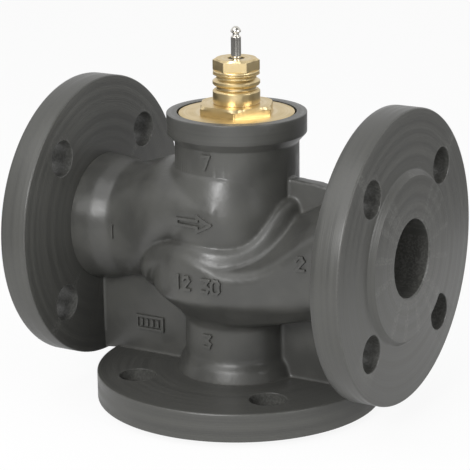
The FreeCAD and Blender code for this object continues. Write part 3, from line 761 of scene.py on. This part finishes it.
metalFinish = {
    "brass": {"colour": (0.68, 0.54, 0.30, 1), "darker": (0.58, 0.45, 0.22, 1), "wornAndGlint": (0.85, 0.72, 0.46, 1),
              "roughness": (0.28, 0.42), "lines": 2600.0, "bump": 0.000012},
    "stainless": {"colour": (0.66, 0.64, 0.59, 1), "darker": (0.54, 0.52, 0.47, 1),
                  "wornAndGlint": (0.85, 0.85, 0.84, 1),
                  "roughness": (0.05, 0.11), "lines": 4000.0, "bump": 0.000006},
    "spring_steel": {"colour": (0.42, 0.41, 0.40, 1), "darker": (0.26, 0.25, 0.25, 1),
                     "wornAndGlint": (0.6, 0.6, 0.6, 1),
                     "roughness": (0.22, 0.38), "lines": 3200.0, "bump": 0.00001},
}


def makeMetal(name):
    finish = metalFinish[name]
    material, tree, sockets, spot = newMaterial(name, Metallic=1.0)
    marks = useGroup(tree, turnedMarks, Place=spot, Lines=finish["lines"])
    grain = useGroup(tree, surfaceGrain, Place=spot, Scale=1600.0)
    wearAndGlint = useGroup(tree, edgeWearAndGlint, Place=spot, Grain=1500.0, Reach=0.02)["Mask"]
    shade = sums(tree, "MULTIPLY", marks["Shade"], grain["Patches"])
    colour = blend(tree, shade, finish["colour"], finish["darker"])
    colour = blend(tree, sums(tree, "MULTIPLY", wearAndGlint, 0.5), colour, finish["wornAndGlint"])
    feed(tree, colour, sockets["Base Color"])
    feed(tree, ease(tree, marks["Shade"], 0.0, 1.0, *finish["roughness"]), sockets["Roughness"])
    raiseSurface(tree, marks["Height"], finish["bump"], sockets)
    return material


softFinish = {
    "rubber": {"colour": (0.018, 0.018, 0.018, 1), "paler": (0.035, 0.034, 0.033, 1),
               "roughness": (0.45, 0.65),
               "scale": 2400.0, "bump": 0.00005},
    "ptfe": {"colour": (0.74, 0.74, 0.71, 1), "paler": (0.82, 0.82, 0.80, 1), "roughness": (0.35, 0.5),
             "scale": 900.0, "bump": 0.00003},
    "gasket_fibre": {"colour": (0.10, 0.13, 0.11, 1), "paler": (0.22, 0.25, 0.22, 1),
                     "roughness": (0.7, 0.85),
                     "scale": 3000.0, "bump": 0.00012},
}


def makeSoft(name):
    finish = softFinish[name]
    material, tree, sockets, spot = newMaterial(name)
    grain = useGroup(tree, surfaceGrain, Place=spot, Scale=finish["scale"])
    film = useGroup(tree, dust, Place=spot, Depth=2 * mm)["Mask"]
    colour = blend(tree, grain["Patches"], finish["colour"], finish["paler"])
    colour = blend(tree, sums(tree, "MULTIPLY", film, 0.2), colour, paintFinish["dusty"])
    feed(tree, colour, sockets["Base Color"])
    feed(tree, ease(tree, grain["Height"], 0.3, 1.0, *finish["roughness"]), sockets["Roughness"])
    raiseSurface(tree, grain["Height"], finish["bump"], sockets)
    return material


finishes = {"painted_iron": makePaint()}
for name in metalFinish:
    finishes[name] = makeMetal(name)
for name in softFinish:
    finishes[name] = makeSoft(name)
slots = {part["node"]: part["material_slot"] for part in frame["record"]["subparts"]}
for name, node in frame["nodes"].items():
    node.data.materials.clear()
    node.data.materials.append(finishes[slots[name]])
print("materials:", ", ".join(finishes))


def fit(piece, rider, node, finish, sharpAngle=32):
    # shades a piece, joins it to a moving body and puts it in a CAD node's place
    for polygon in piece.data.polygons:
        polygon.use_smooth = True
    piece.data.set_sharp_from_angle(angle=math.radians(sharpAngle))
    piece.data.materials.clear()
    piece.data.materials.append(finishes[finish])
    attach(piece, rider)
    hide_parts(node)


# raised numbers on the casting, each one a line on a grid of -1 to 1 across and up
digits = {
    "0": [(-1, 0.6), (-0.5, 1), (0.5, 1), (1, 0.6), (1, -0.6), (0.5, -1), (-0.5, -1), (-1, -0.6), (-1, 0.6)],
    "1": [(-0.45, 0.55), (0.15, 1), (0.15, -1)],
    "2": [(-1, 0.55), (-0.5, 1), (0.5, 1), (1, 0.5), (-1, -1), (1, -1)],
    "3": [(-1, 1), (1, 1), (0, 0.2), (1, -0.3), (0.5, -1), (-1, -0.9)],
    "7": [(-1, 1), (1, 1), (-0.3, -1)],
}
digitSize = {"halfWidth": 1.9, "halfHeight": 3.2, "pitch": 5.6}                     # mm
# each number with its middle, across and up from the bottom port, in mm
numbers = [("1", (-58.8, 91)), ("2", (56, 90.5)), ("3", (-2.4, 38.8)), ("7", (0.6, 134.8)),
           ("12 30", (1.2, 74.4))]
arrow = {
    "outline": [(-9.6, -1.6), (2.6, -1.6), (2.6, -3.8), (9.8, 0), (2.6, 3.8), (2.6, 1.6), (-9.6, 1.6)],
    "middle": (-3.2, 104.4),
}
panel = {
    "outline": [(-8, -3.4), (8, -3.4), (8, 3.4), (-8, 3.4)],
    "bars": (-5, -1.7, 1.7, 5),
    "barHalf": 1.2,
    "middle": (-52.5, 34.3),
}
strokeSize = {
    "width": 1.5 * mm,
    "half": 1.0 * mm,                  # half the thickness of a stroke before it is laid on
    "rise": 1.3 * mm,                  # above the casting's skin
    "sink": 1.2 * mm,                  # below it
    "voxel": 0.24 * mm,
}


def strokesAlong(points):
    return list(zip(points, points[1:]))


def numberStrokes(text):
    strokes = []
    for position, digit in enumerate(text):
        shift = (position - (len(text) - 1) / 2) * digitSize["pitch"]
        strokes += strokesAlong([(shift + across * digitSize["halfWidth"], up * digitSize["halfHeight"])
                                 for across, up in digits.get(digit, [])])
    return strokes


def outlineStrokes(outline):
    return strokesAlong(outline + outline[:1])


def strokePlate(strokes):
    # straight strokes of one width on the XY plane
    half = strokeSize["width"] / 2
    lift = Vector((0, 0, strokeSize["half"]))
    sides = [(i, (i + 1) % 4, 4 + (i + 1) % 4, 4 + i) for i in range(4)]
    parts = []
    for start, end in strokes:
        start, end = Vector((*start, 0)) * mm, Vector((*end, 0)) * mm
        along = (end - start).normalized()
        across = Vector((-along.y, along.x, 0)) * half
        start, end = start - along * half, end + along * half
        corners = [start - across, end - across, end + across, start + across]
        vertices = [corner - lift for corner in corners] + [corner + lift for corner in corners]
        parts.append(newObject("stroke", vertices, [(3, 2, 1, 0), (4, 5, 6, 7)] + sides))
    return joined("strokes", parts)


def pressOn(piece, surface, middle):
    # lays a flat plate on the casting's front: X stays across, Y goes up, its thickness follows the surface
    modify(piece, "REMESH", mode="VOXEL", voxel_size=strokeSize["voxel"])
    modify(piece, "SMOOTH", factor=0.5, iterations=1)
    towards = Vector((0, 1, 0))
    for vertex in piece.data.vertices:
        flat = Vector((middle[0] * mm + vertex.co.x, 0, middle[1] * mm + vertex.co.y))
        hit = surface.ray_cast(flat - towards * 0.2, towards)[0]
        if hit is None:
            print("a mark misses the casting at", tuple(flat))
            continue
        share = max(-1, min(1, vertex.co.z / strokeSize["half"]))
        out = strokeSize["rise"] * share if share > 0 else strokeSize["sink"] * share
        vertex.co = hit - towards * out
    piece.data.update()
    return piece


def addMarks(casting):
    work = bmesh.new()
    work.from_mesh(casting.data)
    surface = BVHTree.FromBMesh(work)
    work.free()
    barHalf = panel["barHalf"]
    bars = [((x, -barHalf), (x, barHalf)) for x in panel["bars"]]
    drawings = [(numberStrokes(text), middle) for text, middle in numbers]
    drawings.append((outlineStrokes(arrow["outline"]), arrow["middle"]))
    drawings.append((outlineStrokes(panel["outline"]) + bars, panel["middle"]))
    plates = [pressOn(strokePlate(strokes), surface, middle) for strokes, middle in drawings]
    for mark in plates:
        boolean(casting, mark, "UNION")
    print("marks:", len(plates))


fit(buildCasting(), "valve", "valve_body", "painted_iron")

bonnetSizes = {                        # radii and heights in mm
    "bushBore": 4.55, "nose": 9.5, "packingBore": 6.0, "packingFloor": 10.0,
    "thread": 26.95, "threadEnd": 137.8,
    "disc": 29.8, "discBottom": 150.8, "discTop": 154.8,
    "hexTop": 159.4, "hexFlats": 36.0, "hexChamfer": 1.5, "hexCrown": 18.9, "relief": 11.5,
    "spigotFoot": 160.0, "spigot": 12.15, "groove": 10.2, "grooveLip": 11.3, "grooveRise": 11.6,
    "neckEnd": 12.0, "neckTop": 175.0, "glandBore": 8.0, "glandBoreEnd": 166.0,
}
bonnetGrooves = {                      # heights in mm, from the foot of each groove up
    "lower": (165.7, 166.5, 166.9, 168.2, 168.9, 169.6),
    "upper": (171.0, 172.4, 173.5, 174.4),
}
bonnetNotches = {"low": 166.0 * mm, "high": 166.8 * mm, "count": 60, "depth": 0.35 * mm}
bonnetTurn = -3.5                      # a hexagon corner's turn in degrees


def makeBonnet():
    size = {key: value * mm for key, value in bonnetSizes.items()}
    low, high = ([height * mm for height in bonnetGrooves[key]] for key in ("lower", "upper"))
    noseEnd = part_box("bonnet")[0].z
    floorLevel = noseEnd + size["packingFloor"]
    groove, spigot, hexEdge = size["groove"], size["spigot"], 0.62 * size["hexFlats"]
    corners = [
        (size["bushBore"], noseEnd, 0), (size["nose"], noseEnd, 0.4 * mm),
        (size["nose"], size["threadEnd"], 0.5 * mm), (size["thread"], size["threadEnd"], 0.5 * mm),
        (size["thread"], size["discBottom"], 0), (size["disc"], size["discBottom"], 0.2 * mm),
        (size["disc"], size["discTop"], 0.5 * mm), (hexEdge, size["discTop"], 0.1 * mm),
        (hexEdge, size["hexTop"] - size["hexChamfer"], 0.2 * mm),
        (size["hexCrown"], size["hexTop"], 0.2 * mm),
        (size["relief"], size["hexTop"], 0.2 * mm), (size["relief"], size["spigotFoot"], 0.05 * mm),
        (spigot, size["spigotFoot"], 0.25 * mm), (spigot, low[0], 0.3 * mm),
        (size["grooveLip"], low[1], 0.1 * mm),
        (groove, low[2], 0.15 * mm), (groove, low[3], 0.2 * mm), (size["grooveRise"], low[4], 0.2 * mm),
        (spigot, low[5], 0.2 * mm), (spigot, high[0], 0.2 * mm), (groove, high[1], 0.2 * mm),
        (groove, high[2], 0.2 * mm), (size["neckEnd"], high[3], 0.2 * mm),
        (size["neckEnd"], size["neckTop"], 0.15 * mm), (size["glandBore"], size["neckTop"], 0.3 * mm),
        (size["glandBore"], size["glandBoreEnd"], 0), (size["packingBore"], size["glandBoreEnd"], 0.2 * mm),
        (size["packingBore"], floorLevel, 0), (size["bushBore"], floorLevel, 0)]
    return turned("bonnet_fine", corners, segments=480, closed=True, teeth=tuple(bonnetNotches.values()),
                  hexagon=(size["discTop"], size["hexTop"], size["hexFlats"], bonnetTurn))


glandSizes = {                         # radii and heights in mm
    "bore": 2.65, "noseFoot": 162.4, "nose": 5.9, "threadFoot": 166, "thread": 7.95, "foot": 176.5,
    "top": 182.5, "flats": 21, "chamfer": 1.1, "footChamfer": 0.5, "crown": 10.2, "wiperPocket": 4.4,
}
glandTurn = 26.5                       # a hexagon corner's turn in degrees


def makeGland():
    size = {key: value * mm for key, value in glandSizes.items()}
    foot, top, nose, bore, flats = size["foot"], size["top"], size["noseFoot"], size["bore"], size["flats"]
    ringLow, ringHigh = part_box("stem_o_ring")
    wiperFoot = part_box("stem_wiper")[0].z
    corners = [
        (bore, nose, 0), (size["nose"], nose, 0.2 * mm), (size["nose"], size["threadFoot"], 0),
        (size["thread"], size["threadFoot"], 0.3 * mm), (size["thread"], foot, 0),
        (0.58 * flats, foot, 0.1 * mm),
        (0.62 * flats, foot + size["footChamfer"], 0.1 * mm), (0.62 * flats, top - size["chamfer"], 0.2 * mm),
        (size["crown"], top, 0.25 * mm), (size["wiperPocket"], top, 0.3 * mm),
        (size["wiperPocket"], wiperFoot, 0),
        (bore, wiperFoot, 0), (bore, ringHigh.z, 0), (ringHigh.x, ringHigh.z, 0), (ringHigh.x, ringLow.z, 0),
        (bore, ringLow.z, 0)]
    return turned("gland_nut_fine", corners, segments=360, closed=True, hexagon=(foot, top, flats, glandTurn))


washerOutline = [                      # radius, height, fillet, in mm
    (8.1, 175, 0), (11.9, 175, 0.4), (11.9, 176.5, 0.6), (8.1, 176.5, 0.1)]
stemRadius = 2.6 * mm
stemHead = [                           # radius, height, fillet, in mm
    (1.65, 194.1, 0.5), (1.65, 195.0, 0.4), (2.7, 195.8, 0.4), (2.5, 196.9, 1.2), (1.7, 198.0, 1.0),
    (0.8, 198.66, 0.6), (0, 198.66, 0)]
stemShoulder = 193.3 * mm
pinHole = {"clearance": 0.02 * mm, "reach": 8 * mm}


def makeStem():
    foot, pinLow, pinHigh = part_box("stem")[0].z, *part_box("plug_pin")
    corners = [(0, foot, 0), (stemRadius, foot, 0.4 * mm), (stemRadius, stemShoulder, 0.5 * mm)]
    stem = turned("stem_fine", corners + inMillimetres(stemHead), segments=96)
    radius, reach = (pinHigh.z - pinLow.z) / 2 + pinHole["clearance"], pinHole["reach"]
    hole = turned("pin_hole", [(0, -reach, 0), (radius, -reach, 0), (radius, reach, 0), (0, reach, 0)],
                  segments=48, place=alongX(1, (pinLow.z + pinHigh.z) / 2))
    return boolean(stem, hole, "DIFFERENCE")


def makeWasher():
    return turned("gland_washer_fine", inMillimetres(washerOutline), segments=192, closed=True)


fit(makeBonnet(), "valve", "bonnet", "brass")
fit(makeGland(), "valve", "gland_nut", "brass")
fit(makeWasher(), "valve", "gland_washer", "brass")
fit(makeStem(), "stem_assembly", "stem", "stainless")
print("brass and stem made")


view = {
    "aim": Vector((-1.4, -0.8, 89.1)) * mm,
    "distance": 1107.0 * mm,
    "azimuth": 30.345,
    "elevation": 15.738,
    "roll": -0.682,
    "lens": 163.49,
}


def placeCamera():
    azimuth, elevation, roll = (math.radians(view[key]) for key in ("azimuth", "elevation", "roll"))
    back = Vector((math.sin(azimuth) * math.cos(elevation), -math.cos(azimuth) * math.cos(elevation),
                   math.sin(elevation)))
    right = (-back).cross(Vector((0, 0, 1))).normalized()
    up = right.cross(-back)
    across = math.cos(roll) * right + math.sin(roll) * up
    over = -math.sin(roll) * right + math.cos(roll) * up
    camera = addToScene("camera", bpy.data.cameras.new("camera"))
    camera.data.lens = view["lens"]
    camera.data.sensor_width = 36
    camera.data.clip_end = 20
    camera.matrix_world = Matrix((across, over, back)).transposed().to_4x4()
    camera.matrix_world.translation = view["aim"] + back * view["distance"]
    bpy.context.scene.camera = camera


placeCamera()
scene.view_settings.view_transform = "Standard"

studio = {
    "even": 0.55,                      # what lights the valve from all round
    "backdrop": 0.9,                   # shiny surfaces reflect this of the white wall behind
    "opening": 0.85,                   # this of a bright opening straight in front
    "room": 0.30,                      # and this of the dimmer room around
    "table": 0.34,                     # half width of the white table in metres
    "beside": 0.30,                    # what is left of the floor's reflection beside the table
    "paper": 0.8,                      # the floor's own colour
    "seen": 0.9,                       # how much of the floor the camera sees as plain white
    "front": Vector((0.5, -0.86, 0)).normalized(),
}


def makeWorld():
    world = bpy.data.worlds.new("studio")
    scene.world = world
    world.use_nodes = True
    tree = world.node_tree
    path = tree.nodes.new("ShaderNodeLightPath").outputs
    facing = tree.nodes.new("ShaderNodeVectorMath")
    facing.operation = "DOT_PRODUCT"
    feed(tree, tree.nodes.new("ShaderNodeTexCoord").outputs["Generated"], facing.inputs[0])
    facing.inputs[1].default_value = studio["front"]
    room = ease(tree, facing.outputs["Value"], -0.2, 0.3, studio["backdrop"], studio["room"])
    glow = ease(tree, facing.outputs["Value"], 0.75, 0.95, 0.0, studio["opening"] - studio["room"])
    room = sums(tree, "ADD", room, glow)
    seen = blend(tree, path["Is Glossy Ray"], studio["even"], room, "FLOAT")
    background = tree.nodes["Background"].inputs
    feed(tree, blend(tree, path["Is Camera Ray"], seen, 1.0, "FLOAT"), background["Strength"])
    background["Color"].default_value = (1, 1, 1, 1)


makeWorld()


def floor():
    corners = [(-4, -4, 0), (4, -4, 0), (4, 4, 0), (-4, 4, 0)]
    piece = newObject("floor", corners, [(0, 1, 2, 3)])
    material, tree, sockets, spot = newMaterial("floor", Roughness=0.9)
    path = tree.nodes.new("ShaderNodeLightPath").outputs
    sideways = tree.nodes.new("ShaderNodeVectorMath")
    sideways.operation = "DOT_PRODUCT"
    feed(tree, spot, sideways.inputs[0])
    sideways.inputs[1].default_value = (-studio["front"].y, studio["front"].x, 0)
    off = sums(tree, "ABSOLUTE", sideways.outputs["Value"])
    beside = ease(tree, off, 0.9 * studio["table"], 1.1 * studio["table"])
    dim = sums(tree, "MULTIPLY", beside, path["Is Glossy Ray"])
    paper = (studio["paper"],) * 3 + (1,)
    dimmed = (studio["paper"] * studio["beside"],) * 3 + (1,)
    feed(tree, blend(tree, dim, paper, dimmed), sockets["Base Color"])
    emission = tree.nodes.new("ShaderNodeEmission")
    mix = tree.nodes.new("ShaderNodeMixShader")
    feed(tree, sums(tree, "MULTIPLY", path["Is Camera Ray"], studio["seen"]), mix.inputs["Fac"])
    feed(tree, tree.nodes["Principled BSDF"].outputs[0], mix.inputs[1])
    feed(tree, emission.outputs[0], mix.inputs[2])
    feed(tree, mix.outputs[0], tree.nodes["Material Output"].inputs["Surface"])
    piece.data.materials.append(material)


floor()


lamps = {
    "key": {"azimuth": 5, "elevation": 26, "distance": 1.6, "size": (0.6, 0.5), "watts": 18},
    "top": {"azimuth": -25, "elevation": 58, "distance": 1.5, "size": (1.0, 1.0), "watts": 7},
    "right": {"azimuth": 85, "elevation": 20, "distance": 2.0, "size": (1.0, 1.0), "watts": 18},
}


def softbox(name, azimuth, elevation, distance, size, watts):
    # a rectangular lamp that looks at the valve's middle
    turn, tilt = math.radians(azimuth), math.radians(elevation)
    away = Vector((math.sin(turn) * math.cos(tilt), -math.cos(turn) * math.cos(tilt), math.sin(tilt)))
    aim = Vector((0, 0, portHeight))
    lamp = addToScene(name, bpy.data.lights.new(name, "AREA"))
    lamp.data.shape = "RECTANGLE"
    lamp.data.size, lamp.data.size_y = size
    lamp.data.energy = watts
    lamp.location = aim + distance * away
    lamp.rotation_euler = (lamp.location - aim).to_track_quat("Z", "Y").to_euler()


for name, values in lamps.items():
    softbox(name, **values)
